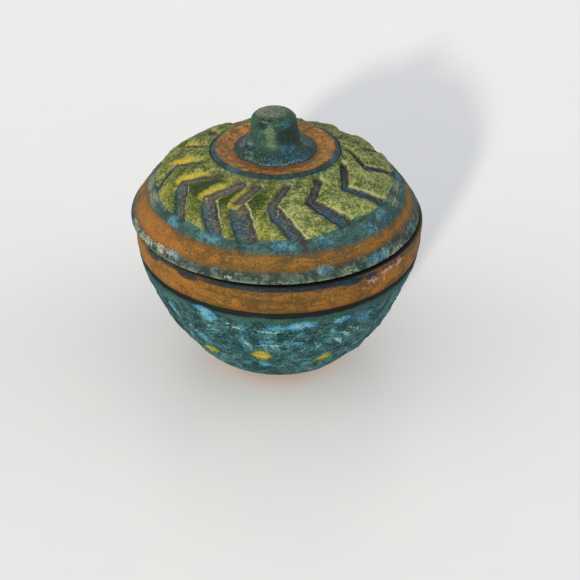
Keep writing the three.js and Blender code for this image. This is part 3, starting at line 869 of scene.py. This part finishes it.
def strokeColour(f, fine, patch, broad, grain):
    # the floors of the strokes: grey and brown above the elbow, blue to dark below it
    side = f.mask("side") + patch.by(1.6) + fine.by(1.2)
    inner = f.coat(lid["grooveGrey"], lid["grooveBrown"], patch * 0.6 + fine * 0.4, 0.4, 0.6)
    inner = f.mix(f.mask("slate") * f.rise(patch + fine * 0.4, 0.45, 0.75) * 0.9, inner, lid["slate"])
    inner = f.coat(inner, lid["grooveDark"], side, 0, 1.2, 0.45)
    cool = f.coat(lid["grooveBlue"], lid["grooveTeal"], broad + patch.by(0.6), 0.42, 0.6)
    warm = f.coat(lid["grooveDark"], lid["grooveBrown"], fine * 0.6 + patch * 0.4, 0.4, 0.6)
    warm = f.mix(f.mask("slate") * 0.7, warm, lid["slate"])
    outerTone = f.coat(cool, warm, side, -0.6, 0.7)
    groove = f.coat(inner, outerTone, f.mask("along") + patch.by(0.5), 0.42, 0.66)
    # painted shade along the foot of the stroke walls
    groove = f.coat(groove, lid["grooveDark"], f.mask("creaseShade") + fine.by(0.6), 0.35, 0.9, 0.65)
    groove = f.pool(groove, lid["grooveDark"], grain, 0.38, 0.5, 0.6)
    groove = f.coat(groove, lid["grooveSpeck"], grain, 0.5, 0.66, 0.33)
    return groove


def ringColour(f, fine, patch, broad, sweeps):
    ring = f.coat(lid["deepTeal"], lid["teal"], patch * 0.6 + broad * 0.4, 0.36, 0.64)
    ring = f.coat(ring, lid["turquoise"], sweeps * 0.5 + fine * 0.5, 0.5, 0.66, 0.35)
    ring = f.pool(ring, lid["deepTeal"], fine * 0.7 + patch * 0.3, 0.38, 0.48, 0.6)
    ring = f.coat(ring, lid["ringPale"], f.mask("pales") + fine.by(1.6) + sweeps.by(1.6), 0.4, 1.2, 0.9)
    ring = f.coat(ring, lid["stain"], f.mask("stains") + fine.by(1.4) + patch.by(0.8), 0.3, 0.9, 0.8)
    return ring


def lidBandColour(f, fine, patch, broad, sweeps):
    speck = sweeps * 0.3 + fine * 0.7
    band = f.coat(lid["ochreDark"], lid["ochre"], sweeps * 0.3 + broad * 0.3 + fine * 0.4, 0.38, 0.58)
    band = f.coat(band, lid["ochreLight"], sweeps * 0.3 + patch * 0.3 + fine * 0.4, 0.48, 0.64, 0.5)
    # painted light: the band lighter and more orange where more light falls on it
    band = f.coat(band, lid["litOrange"], f.mask("warm") + patch.by(0.8) + fine.by(0.8), 0.2, 1.1, 0.7)
    band = f.pool(band, lid["ochreDark"], broad * 0.5 + patch * 0.5, 0.4, 0.52, 0.45)
    band = f.pool(band, lid["ochreDark"], speck, 0.36, 0.48, 0.45)
    band = f.coat(band, lid["ochreLight"], speck, 0.52, 0.64, 0.4)
    return band


def lipColour(f, fine, patch, sweeps):
    lip = f.coat(lid["lipDark"], lid["lipGreen"], patch, 0.38, 0.62)
    return f.coat(lip, lid["lipPale"], fine * 0.5 + sweeps * 0.2 + patch * 0.3, 0.5, 0.64, 0.5)


def lidPaint():
    f = Finish("lidPaint", lidAxis)
    fine = f.noise(0.75, 2, 0.6)
    patch = f.noise(3, 3, 0.55, 0.6)
    broad = f.noise(11, 2)
    wander = f.noise(6).by(2)
    sweeps = f.streaks(9, 1.3, f.h - f.r, 3, 0.3)
    dashes = f.streaks(1.5, 0.6, f.h - f.r, 2, 0.4) * 0.5 + fine * 0.5
    grain = dashes + f.mask("bumps") * 0.1
    land = landColour(f, fine, patch, broad, wander, grain)
    inGroove = f.rise(f.mask("cut") + fine.by(0.5) + patch.by(0.4), 0.26, 0.72)
    land = f.mix(inGroove, land, strokeColour(f, fine, patch, broad, grain))
    ring = ringColour(f, fine, patch, broad, sweeps)
    band = lidBandColour(f, fine, patch, broad, sweeps)
    lip = lipColour(f, fine, patch, sweeps)

    # all in place, with the blues, the chips and the lip's underside painted black as shade in the gap
    bandIn = f.r - 0.013 * f.x + wander * 0.3
    bandOut = f.r + 0.012 * f.x + wander * 0.25
    colour = f.coat(land, ring, f.mask("ring") + patch.by(0.6), 0.3, 0.65)
    blues = f.rise(f.mask("blues") + fine.by(2.4) + patch.by(0.8), 0.3, 1.3)
    blues = blues * f.rise(inGroove + f.mask("ring"), 0.2, 0.8)
    brightBlue = f.coat(lid["blue"], lid["turquoise"], patch, 0.42, 0.6)
    blueTone = f.mix(inGroove * (1 - f.mask("ring")) * 0.85, brightBlue, lid["deepBlue"])
    colour = f.mix(blues * 0.8, colour, blueTone)
    onBand = f.rise(bandIn + fine.by(0.8), *lid["bandFrom"])
    nearEdge = 1 - f.rise(bandIn, *lid["clearFrom"]) * f.fall(bandOut, *lid["clearTo"])
    band = f.mix(nearEdge * 0.5, band, lid["ochreDark"])
    colour = f.mix(onBand, colour, band)
    colour = f.coat(colour, lip, bandOut + fine.by(0.6), *lid["bandTo"])
    lipBlue = f.rise(f.mask("lipBlues") + fine.by(2.4) + patch.by(0.9), 0.35, 1.2)
    colour = f.mix(lipBlue * 0.8, colour, brightBlue)
    chip = f.rise(f.mask("chips") + fine.by(2.4) + patch.by(1), 0.5, 1.3)
    colour = f.mix(chip * 0.85, colour, f.coat(lid["lipPale"], lid["white"], fine, 0.4, 0.6))
    low = f.fall(f.h + fine.by(0.8), *lid["paleLip"]) * f.rise(patch, 0.4, 0.6)
    colour = f.mix(low * 0.5, colour, lid["lipPale"])
    # painted shade: the lip's underside goes black in the gap over the rim
    colour = f.mix(f.fall(f.h, *lid["lipGapShade"]), colour, bowl["gapShade"])
    height = fine * 0.6 + dashes * 0.6 + patch * 0.4 + sweeps * 0.3
    return f.finish(colour, 0.56 + 0.26 * fine, height, 0.9, 0.45, 0.16)


def landMasks(piece, radius, angle, field, ridge, cut, ring, free):
    # where the lands are painted yellow as lit and dark as shaded, mossy or worn, and where the strokes are
    gap, along, side, _, litYellow, _ = field
    thin = 0.5 + 0.5 * ease(radius, lid["strokeInner"], lid["strokeFull"])
    reach = (1.2 + 0.6 * litYellow) * thin
    # painted light: the land slopes facing the front left, the ridges and the lit patches are painted
    # yellow
    paintedLitSlope = (side <= 0) * np.exp(-(np.clip(gap, 0, 99) / reach) ** 2) * (1 - ease(along, 0.48, 0.6))
    paintedLitSlope *= np.minimum(litYellow, 1) * (0.3 + 0.7 * ease(along, 0.04, 0.3))
    lit = spotMask(angle, radius, landPaintedLight, lid["landSpots"])
    paintedLitSlope = np.maximum(np.maximum(paintedLitSlope, ridge), lit)
    # painted shade: the lands inside the elbows are darkened, more at some angles than others
    paintedShadeSlope = byAngle(angle, elbowPaintedShade) * (1 - ease(radius, *lid["darkTo"]))
    paintedShadeSlope *= ease(radius, *lid["darkFrom"])
    setMask(piece, "slate", byAngle(angle, slateParts))
    setMask(piece, "paintedLitSlope", paintedLitSlope * free)
    setMask(piece, "paintedShadeSlope", paintedShadeSlope * ease(gap, 0.2, 0.8) * (1 - paintedLitSlope) * free)
    setMask(piece, "moss", byAngle(angle, mossy) * free)
    setMask(piece, "cut", cut * (1 - ring) * (1 - 0.7 * ridge))
    setMask(piece, "along", along)
    setMask(piece, "side", side)
    setMask(piece, "ring", ring)
    edgeLine = np.exp(-((gap - 0.35) / 0.4) ** 2) * np.where(side > 0, 1, 0.6)
    setMask(piece, "edge", edgeLine * free)
    setMask(piece, "creaseShade", np.exp(-((gap + 0.75) / 0.45) ** 2) * cut)


def lidSpots(piece, z, radius, angle, outer):
    for name, spots, middle in (("blues", ringBlues, "ringSpots"), ("pales", ringPales, "ringSpots"),
                                ("stains", ringStains, "ringSpots"), ("warm", lidBandLight, "bandSpots"),
                                ("shades", landPaintedShade, "shadeSpots")):
        setMask(piece, name, spotMask(angle, radius, spots, lid[middle]) * outer)
    onLip = radius > lid["lipFrom"]
    setMask(piece, "lipBlues", spotMask(angle, z, lipBlues, lid["lipSpots"]) * outer * onLip)
    lipMarks = spotMask(angle, z, lipChips, lid["lipSpots"]) * onLip
    landMarks = spotMask(angle, radius, landChips, lid["landSpots"]) * (radius < lid["ringTo"])
    setMask(piece, "chips", np.maximum(lipMarks, landMarks) * outer)


def makeLid():
    piece = spinPiece("lidDome", lidProfile(), lid["segments"], lidAxis)
    at, radius, angle = places(piece, lidAxis)
    z = at[:, 2]
    inside = lid["plate"] + lid["plateGap"]
    outer = z > np.array([dome(min(r, lid["radius"])) for r in radius]) - 0.9
    outer &= z > lid["seat"] + lid["gap"]
    carved = outer & (radius > inside + 0.05) & (radius < lid["landOuter"] + 2.5)
    end = byAngle(angle, landEnds)
    end = end + 0.25 * np.sin(np.radians(angle * 9)) + 0.15 * np.sin(np.radians(angle * 23))
    ring = ease(radius, end - 0.5, end + 0.5) * outer

    field = np.zeros((6, len(z)))
    field[0] = 99
    field[:, carved] = strokeField(at[carved], radius[carved])
    gap, along, _, ridge, _, slopes = field
    ridge = ridge * np.exp(-((along - 0.53) / 0.05) ** 2) * (gap < 0.6)
    start = ease(radius, inside + 0.1, inside + 1.1)
    cut = easeDown(gap, -lid["wall"] * 1.2, lid["wall"] * 0.8) * start * carved
    fade = 1 - 0.85 * ease(radius, end - 0.2, end + 1.6)
    endDrop = np.exp(-np.clip(end - radius, 0, 99) / 1.1) * carved * (1 - ring)
    soft = np.maximum(slopes * carved * start, endDrop)
    sink = (lid["strokeDepth"] - lid["strokeEdge"]) * cut + lid["strokeEdge"] * soft
    sink = np.maximum(sink * fade * (1 - 0.55 * ridge), ring * landAbove(radius) * carved)
    press(piece, "carving", sink, lid["strokeDepth"])
    landMasks(piece, radius, angle, field, ridge, cut, ring, carved * start * (1 - ring))

    before = places(piece)[0][:, 2]
    roughen(piece, "landLumps", lid["landLumps"], carved * (1 - 0.5 * cut), bothWays)
    roughen(piece, "landGrain", lid["landGrain"], carved * (1 - 0.6 * cut), bothWays)
    setMask(piece, "bumps", np.clip((places(piece)[0][:, 2] - before) / lid["bumpFull"], -1, 1))
    brim = outer * ease(radius, lid["landOuter"] - 1, lid["landOuter"] + 1) * ease(z, *lid["brimFrom"])
    roughen(piece, "bandWaves", lid["bandWaves"], brim)
    roughen(piece, "bandGrain", lid["bandGrain"], brim)
    lidSpots(piece, z, radius, angle, outer)
    piece.data.materials.append(lidPaint())

    def bare(c):
        r = math.hypot(c.x - lidAxis, c.y)
        return r < lid["seatOuter"] and c.z < hollow(min(lid["flangeInner"], r)) + 0.3
    paintFaces(piece, bareClay, bare)
    settle(piece, "lid", "lid_dome")


def makeFlange():
    inner, outer, top = lid["flangeInner"], lid["flangeOuter"], lid["seat"]
    low = top - lid["flangeHeight"]
    profile = [(inner + 0.4 * t, top + (low + 0.6 - top) * t) for t in steps(0, 1, 6)]
    profile += [(inner + 0.6, low + 0.2), (inner + 1, low)]
    profile += [(outer - 1.2, low), (outer - 0.8, low + 0.2), (outer - 0.5, low + 0.7)]
    profile += [(outer - 0.5 + 0.5 * t, low + 0.7 + (top - low - 0.7) * t) for t in steps(0.2, 1, 5)]
    profile.append(profile[0])
    piece = spinPiece("lidFlange", profile, lid["flangeSegments"], lidAxis)
    piece.data.materials.append(bareClay)
    settle(piece, "lid", "lid_flange")


# plate round the knob

plate = {"edge": 1.5, "bevel": 2.2, "seat": 1.6, "skirt": 15.7, "skirtGap": 0.3, "segments": 280,
         "waves": (6, 0.4), "grain": (1.5, 0.2), "spots": 24, "rimFrom": (22.2, 23.4), "skirtShadowTo": (15.6, 18),
         "ochre": rgb(156, 111, 58), "ochreDark": rgb(100, 76, 42), "ochreLight": rgb(188, 130, 68),
         "skirtShadow": rgb(80, 48, 25), "rim": rgb(28, 57, 56), "rimDark": rgb(18, 40, 39),
         "rimBlue": rgb(58, 90, 104)}

# blue on the bevel (angle, radius)
rimBlues = [
    (-131, 24, 4.2, 1.4), (-160, 24, 4, 1.2, 0.8), (-178, 24, 4, 1.2, 0.9), (-24, 24, 5, 1.3),
    (-10, 24, 3, 1, 0.8), (-80, 24, 3, 0.8, 0.5), (40, 24, 4, 1, 0.8), (120, 24, 4, 1, 0.8),
    (175, 24, 3, 1, 0.7)]


def plateLevels():
    # underside, shoulder, top edge and the knob's seat
    shoulder = dome(lid["plate"] + lid["plateGap"]) + lid["land"]
    low = shoulder - lid["plateSink"]
    return low, shoulder, shoulder + plate["edge"], low + plate["seat"]


def platePaint():
    f = Finish("platePaint", lidAxis)
    grain = f.noise(0.75, 2, 0.6)
    mottle = f.noise(2.6, 3, 0.6, 0.5)
    brush = f.streaks(3.5, 1.4, f.r, 3, 1)
    wander = f.noise(4).by(1.4)
    tone = brush * 0.2 + mottle * 0.5 + grain * 0.3
    ring = f.coat(plate["ochreDark"], plate["ochre"], tone, 0.36, 0.58)
    ring = f.coat(ring, plate["ochreLight"], mottle * 0.5 + grain * 0.5, 0.46, 0.6, 0.9)
    ring = f.pool(ring, plate["ochreDark"], grain * 0.7 + brush * 0.3, 0.36, 0.48, 0.5)
    ring = f.pool(ring, plate["ochreDark"], brush * 0.4 + mottle * 0.6, 0.4, 0.5, 0.6)
    rim = f.coat(plate["rimDark"], plate["rim"], mottle, 0.38, 0.6)
    rim = f.coat(rim, plate["rimBlue"], f.mask("blues") + grain.by(1.4) + mottle.by(1), 0.3, 1.1, 0.7)
    rim = f.coat(rim, plate["rimBlue"], grain * 0.6 + brush * 0.4, 0.5, 0.64, 0.5)
    colour = f.coat(ring, rim, f.r + wander * 0.4 + grain.by(0.8), *plate["rimFrom"])
    # painted shadow: a dark brown ring on the plate under the knob's skirt, stronger towards the front
    bySkirt = f.fall(f.r + f.y * 0.08 + wander * 0.8 + grain.by(1.2), *plate["skirtShadowTo"])
    colour = f.mix(bySkirt * (0.5 - 0.02 * f.y), colour, plate["skirtShadow"])
    return f.finish(colour, 0.55 + 0.22 * grain, grain * 0.8 + brush * 0.4 + mottle * 0.4, 0.6, 0.35)


def makePlate():
    low, shoulder, top, knobZ = plateLevels()
    edge, inner = lid["plate"], plate["skirt"] + plate["skirtGap"]
    ringOuter = edge - plate["bevel"]
    profile = [(0, low), (8, low), (16, low), (edge - 0.4, low), (edge, low + 0.2)]
    profile += [(edge, shoulder - 0.35), (edge - 0.12, shoulder)]
    for t in steps(0.12, 0.88, 7):
        z = shoulder + (plate["edge"] - 0.12) * math.sin(t * math.pi / 2) ** 0.9
        profile.append((edge - plate["bevel"] * t, z))
    profile += [(ringOuter, top - 0.05), (ringOuter - 0.35, top), (ringOuter - 0.8, top - 0.06)]
    for t in steps(0.06, 1, 18):
        r = ringOuter - 0.8 + (inner - ringOuter + 0.8) * t
        profile.append((r, top - 0.06 - (top - 0.06 - knobZ) * math.sin(t * math.pi / 2)))
    profile += [(inner - 2, knobZ), (inner - 8, knobZ), (0, knobZ)]
    piece = spinPiece("knobPlate", profile, plate["segments"], lidAxis)
    at, radius, angle = places(piece, lidAxis)
    free = (at[:, 2] > shoulder - 0.2) * ease(radius, plate["skirt"] + 0.4, plate["skirt"] + 1.6)
    roughen(piece, "plateWaves", plate["waves"], free)
    roughen(piece, "plateGrain", plate["grain"], free)
    setMask(piece, "blues", spotMask(angle, radius, rimBlues, plate["spots"]))
    piece.data.materials.append(platePaint())
    settle(piece, "lid", "knob_plate")


# knob

knob = {"height": 15.6, "radius": 8.75, "waist": 10.2, "crown": 0.24, "crownHeight": 0.22, "gripTo": 0.78,
        "skirtHeight": 5.2, "skirtEdge": 0.5, "flare": 1.4, "taper": 1.6, "lean": 0.53, "leanOver": (1, 12),
        "dent": 0.5, "segments": 240, "lumps": (6, 0.5), "grain": (1.6, 0.16), "spots": 9.5,
        "dentSpots": 8.8, "skirtTo": (94.4, 96.4), "crownFrom": (105.3, 106.2),
        "green": rgb(40, 78, 56), "deep": rgb(6, 28, 28), "light": rgb(93, 112, 81),
        "top": rgb(122, 128, 108), "topDark": rgb(82, 96, 84), "blue": rgb(16, 56, 70),
        "skirt": rgb(30, 59, 58), "fleck": rgb(112, 138, 134), "brightBlue": rgb(44, 88, 110)}

# painted patches on the knob, the darks partly painted shade on its right, and the dent of a thumb (angle,
# height)
knobDarksAndShade = [
    (-122, 103.6, 2.6, 1.7), (-112, 105.4, 4.2, 0.35), (-52, 99.4, 7, 4.2, 0.85), (-20, 100, 6, 5, 0.8),
    (-40, 97, 6, 3, 0.8), (-150, 94.2, 3, 1.2, 0.8), (30, 100, 6, 5, 0.8), (120, 101, 6, 4, 0.8)]
thumbDents = [(-122, 103.6, 2.6, 1.3)]
knobLights = [
    (-99, 101, 2.7, 3), (-97, 96.6, 2.2, 2.4, 0.8), (-132, 100, 3, 3, 0.35), (70, 100, 2.6, 4, 0.8),
    (165, 100, 3, 4, 0.7)]
knobBlues = [
    (-64, 95.2, 4.5, 2, 0.8), (-53, 92.6, 5, 1.6, 0.9), (-90, 92.2, 3.6, 1), (-64, 103.2, 4.2, 2, 0.8),
    (-150, 95.4, 3, 2, 0.6), (20, 93, 5, 1.6, 0.8), (100, 94, 5, 1.6, 0.8)]
knobFlecks = [
    (-106, 91.6, 6, 0.7, 0.9), (-84, 91.5, 6, 0.6, 0.95), (-60, 91.7, 5, 0.6, 0.8),
    (-130, 91.8, 5, 0.8, 0.9), (-176, 94, 4, 2), (-150, 95.6, 2.4, 1.4), (-140, 93.2, 3, 1, 0.9),
    (-116, 93, 4, 0.8, 0.7), (-18, 95.6, 3, 2.2, 0.9), (-6, 94, 3, 2, 0.9), (-118, 104.9, 4, 0.5, 0.8),
    (-74, 104.6, 3, 0.9, 0.7), (60, 93.5, 5, 1.5, 0.9), (130, 93.5, 5, 1.5, 0.8)]


def knobPaint():
    f = Finish("knobPaint", lidAxis)
    grain = f.noise(0.75, 2, 0.6)
    mottle = f.noise(3.4, 4, 0.6, 0.5)
    body = f.coat(knob["skirt"], knob["green"], mottle, 0.36, 0.62)
    light = f.rise(f.mask("lights") + mottle.by(0.8) + grain.by(0.6), 0.1, 1.1)
    colour = f.mix(light * 0.85, body, knob["light"])
    skirt = f.fall(f.h + mottle.by(3), *knob["skirtTo"])
    colour = f.mix(skirt * 0.75, colour, f.coat(knob["skirt"], knob["deep"], mottle, 0.4, 0.6))
    # dark patches: the knob's own darker paint, and painted shade down its right side
    dark = f.rise(f.mask("darksAndShade") + mottle.by(0.7) + grain.by(0.3), 0.3, 0.8)
    colour = f.mix(dark * 0.88, colour, knob["deep"])
    blue = f.rise(f.mask("blues") + mottle.by(0.9) + grain.by(0.7), 0.3, 1)
    blueTone = f.coat(knob["blue"], knob["brightBlue"], mottle + grain.by(0.6), 0.4, 0.62)
    colour = f.mix(blue * 0.75, colour, blueTone)
    crown = f.rise(f.h + mottle.by(1.2) + grain.by(0.9) - f.x * 0.05, *knob["crownFrom"])
    strokesOver = f.streaks(2.4, 0.9, f.y, 3, 0.6)
    crownTone = f.coat(knob["topDark"], knob["top"], grain * 0.5 + strokesOver * 0.5, 0.38, 0.54)
    colour = f.mix(crown * 0.85, colour, crownTone)
    fleck = f.rise(f.mask("flecks") + grain.by(2.6) + mottle.by(0.6), 0.75, 1.25)
    colour = f.mix(fleck * 0.7, colour, knob["fleck"])
    colour = f.coat(colour, knob["fleck"], grain, 0.58, 0.7, 0.25)
    colour = f.pool(colour, knob["deep"], grain, 0.36, 0.48, 0.6)
    return f.finish(colour, 0.48 + 0.25 * grain, grain * 0.9 + mottle * 0.5, 0.6, 0.35)


def makeKnob():
    knobZ = plateLevels()[3]
    tall, grip, waist = knob["height"], knob["radius"], knob["waist"]
    skirt, low = plate["skirt"], knob["skirtEdge"]
    profile = [(0, knobZ), (6, knobZ), (12, knobZ), (skirt - 0.3, knobZ), (skirt, knobZ + 0.15)]
    profile += [(skirt, knobZ + 0.35), (skirt - 0.2, knobZ + low)]
    for t in steps(0.04, 1, 20):
        r = waist + (skirt - 0.5 - waist) * (1 - t) ** knob["flare"]
        profile.append((r, knobZ + low + knob["skirtHeight"] * t))
    base = knobZ + low + knob["skirtHeight"]
    shoulder = knobZ + tall * knob["gripTo"]
    for t in steps(0.05, 1, 18):
        profile.append((grip + (waist - grip) * (1 - t) ** knob["taper"], base + (shoulder - base) * t))
    for t in steps(0.08, 0.97, 16):
        a = t * math.pi / 2
        r = grip * (knob["crown"] + (1 - knob["crown"]) * math.cos(a))
        profile.append((r, knobZ + tall - tall * knob["crownHeight"] * (1 - math.sin(a))))
    profile += [(grip * share, knobZ + tall) for share in (0.2, 0.12, 0.06, 0)]
    piece = spinPiece("lidKnob", profile, knob["segments"], lidAxis)
    at, _, angle = places(piece, lidAxis)
    z = at[:, 2]
    free = ease(z, knobZ + 0.3, knobZ + 1.2)
    leanFrom, leanTo = knob["leanOver"]
    press(piece, "lean", knob["lean"] * ease(z, knobZ + leanFrom, knobZ + leanTo), knob["lean"], "X")
    dents = spotMask(angle, z, thumbDents, knob["dentSpots"])
    press(piece, "thumbDent", knob["dent"] * dents * free, knob["dent"])
    roughen(piece, "knobLumps", knob["lumps"], free)
    roughen(piece, "knobGrain", knob["grain"], free)
    patches = {"darksAndShade": knobDarksAndShade, "lights": knobLights, "blues": knobBlues, "flecks": knobFlecks}
    for name, spots in patches.items():
        setMask(piece, name, spotMask(angle, z, spots, knob["spots"]))
    piece.data.materials.append(knobPaint())
    settle(piece, "lid", "lid_knob")


makeBowl()
makeFoot()
makeLid()
makeFlange()
makePlate()
makeKnob()

bpy.context.view_layer.update()
